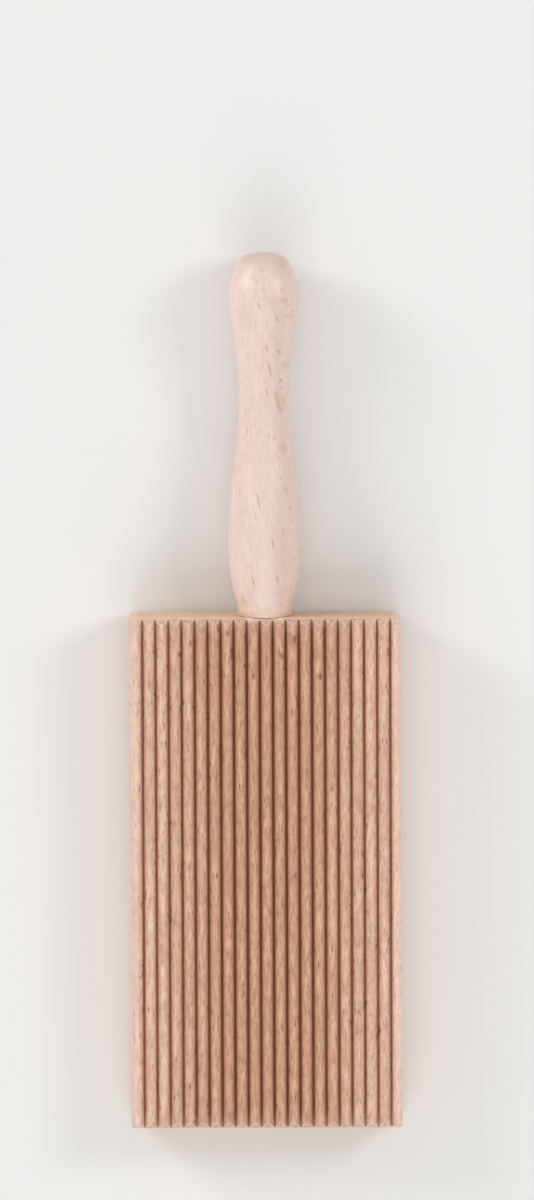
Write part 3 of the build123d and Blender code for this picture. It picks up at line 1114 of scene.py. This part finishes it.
HANDLE_FINISH = {"roughness": (0.43, 0.35), "specular": 0.85, "relief": 0.00002}
GRAIN_LEAN = radians(9)
RAY_TURN = radians(-38)
HANDLE_FIGURE = {"Heart": (0.0, 0.0, -0.06), "Ring Width": 0.0024}
HANDLE_FLECKS = [(0.75, (0.0013, 0.0046, 0.003), 0.65), (0.5, (0.0009, 0.0034, 0.003), 0.8)]
RAY_SHEETS = ((0.0008, 0.0036, 0.005), 0.59)
NECK_TO_KNOB = (0.055, 0.07)
BELLY_TO_NECK = (0.025, 0.05)
TONE_AND_SHADE_SIDE = (0.0016, 0.0034)
FOOT_SHADE_AND_BOUNCE = (0.0, 0.0035)
SPOT_SLANT = 0.2
HANDLE_SPOTS = [
    (3.9, 51.8, 12, 1.1, 2.2, 0.3), (3.0, 53.2, 12, 0.32, 1.2, 0.7),
    (3.5, 51.2, 12, 0.36, 1.4, 0.75), (4.0, 49.9, 12, 0.8, 0.5, 0.6),
    (4.7, 52.2, 12, 0.3, 1.4, 0.5), (4.2, 56.9, 12, 0.3, 0.45, 0.8),
    (4.5, 40.8, 13, 0.9, 1.3, 0.45), (4.9, 76.4, 14, 1.0, 0.5, 0.5),
    (3.2, 72.0, 14, 0.35, 0.8, 0.5), (3.5, 64.0, 13, 0.6, 0.7, 0.55),
    (1.4, 59.8, 13, 0.28, 1.5, 0.7), (0.7, 64.9, 14, 0.35, 0.8, 0.6),
    (-1.1, 75.3, 15, 0.35, 0.8, 0.5), (-1.4, 28.8, 15, 0.25, 1.3, 0.6),
    (2.0, 18.3, 15, 0.28, 1.0, 0.75), (-2.7, 9.2, 14, 0.28, 1.4, 0.7),
    (3.1, 9.6, 14, 0.32, 1.0, 0.75), (-5.1, 4.3, 12, 0.28, 1.4, 0.6),
    # The last spot, right of the knob's crown, is partly end-grain mottle and partly a painted dark
    # reflection.
    (5.1, 30.8, 13, 0.7, 0.7, 0.35), (4.8, 85.0, 11, 1.2, 1.2, 0.4),
]


def handle_beech():
    """Pale turned beech, its grain at a lean and its rays turned to the left front."""
    material, tree, shader = new_material("handle_beech")
    inside = place_in_board(tree, AXIS_HEIGHT, GRAIN_LEAN, RAY_TURN)
    square_place = place_in_board(tree)
    x, y, _ = parts_of(tree, square_place)
    wood = place_group(tree, figure, inside, HANDLE_FIGURE)
    flecks = mixed_flecks(tree, inside, HANDLE_FLECKS)
    figured = mask(tree, y, *BELLY_TO_NECK, 0.15, 0.25)
    colour = coats(
        tree, HANDLE_PALE,
        (wood["Tone"], mask(tree, y, *NECK_TO_KNOB, 1.0, 0.3), HANDLE_PINK),
        (wood["Rings"], 0.15, HANDLE_SHADE),
        (mask(tree, wood["Fibres"], 0.0, 1.0, 0.38, 0.0), HANDLE_SHADE),
        # Partly painted shade: the right side is darkened, partly a darker band of wood.
        (mask(tree, x, *TONE_AND_SHADE_SIDE, 0.0, 0.42), HANDLE_SHADE),
        # Painted shade and painted reflected light: the foot is darkened and warmed where it meets
        # the board.
        (mask(tree, y, *FOOT_SHADE_AND_BOUNCE, 0.5, 0.0), HANDLE_FOOT_SHADE),
        (dashed(tree, inside, *RAY_SHEETS), figured, HANDLE_SHEET),
        (spots(tree, square_place, HANDLE_SPOTS, SPOT_SLANT), HANDLE_SCAR),
        # Partly painted shade: the crown is darkened more than its duller end grain alone would be.
        (mask(tree, marked(tree, "end_grain"), 0.2, 1.0, 0.0, 0.8), HANDLE_SHADE),
        (flecks, 0.75, HANDLE_FLECK),
    )
    wood_surface(tree, shader, colour, wood["Fibres"], flecks, **HANDLE_FINISH)
    return material


handle.data.materials.append(handle_beech())
print("handle material:", len(handle.data.materials[0].node_tree.nodes), "nodes")

# %% [markdown]
# ## The glue and the floor
#
# The glue can't be seen once the tool is together, but others may take the part apart. Its
# shape in the frame is exact, so it stays and only gets a material: dried wood glue, cream,
# with small bubbles. The floor is a plain pale sheet.

# %% Glue
GLUE_CREAM = srgb(222, 206, 160)
GLUE_YELLOW = srgb(206, 184, 128)
CLOUD = (0.002, 0.004, 0.002)
BUBBLE = (0.0006, 0.0006, 0.0006)
BUBBLE_PIT = 0.00005


def dried_glue():
    """Cream glue with cloudy patches and fine bubbles."""
    material, tree, shader = new_material("dried_glue")
    place = add(tree, "ShaderNodeTexCoord").outputs["Object"]
    cloud = noise(tree, place, CLOUD)
    cells = {"Vector": vector_maths(tree, "DIVIDE", place, BUBBLE), "Scale": 1.0}
    bubbles = add(tree, "ShaderNodeTexVoronoi", cells).outputs["Distance"]
    pits = mask(tree, bubbles, 0.1, 0.25)
    colour = blend(tree, mask(tree, cloud, 0.35, 0.65), GLUE_CREAM, GLUE_YELLOW)
    tree.links.new(colour, shader["Base Color"])
    tree.links.new(mask(tree, cloud, 0.3, 0.7, 0.3, 0.45), shader["Roughness"])
    tree.links.new(bump(tree, pits, BUBBLE_PIT), shader["Normal"])
    return material


glue = frame["nodes"]["tenon_glue"]
glue.data.materials.clear()
glue.data.materials.append(dried_glue())
print("glue points:", len(glue.data.vertices))

# %% Floor
FLOOR_HALF = 2.0
FLOOR_WHITE = srgb(238, 237, 235)


def pale_floor():
    """A flat sheet of matt paper under the tool."""
    mesh = bpy.data.meshes.new("floor")
    corners = np.array([[-1, -1, 0], [1, -1, 0], [1, 1, 0], [-1, 1, 0]]) * FLOOR_HALF
    mesh.from_pydata(corners.tolist(), [], [[0, 1, 2, 3]])
    material, _, shader = new_material("matt_paper")
    shader["Base Color"].default_value = FLOOR_WHITE
    shader["Roughness"].default_value = 0.9
    shader["Specular IOR Level"].default_value = 0.1
    mesh.materials.append(material)
    return put_in_scene("floor", mesh)


pale_floor()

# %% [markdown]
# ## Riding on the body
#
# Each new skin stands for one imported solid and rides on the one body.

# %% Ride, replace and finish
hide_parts("ridged_board")
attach(board, "root")
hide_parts("turned_handle")
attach(handle, "root")
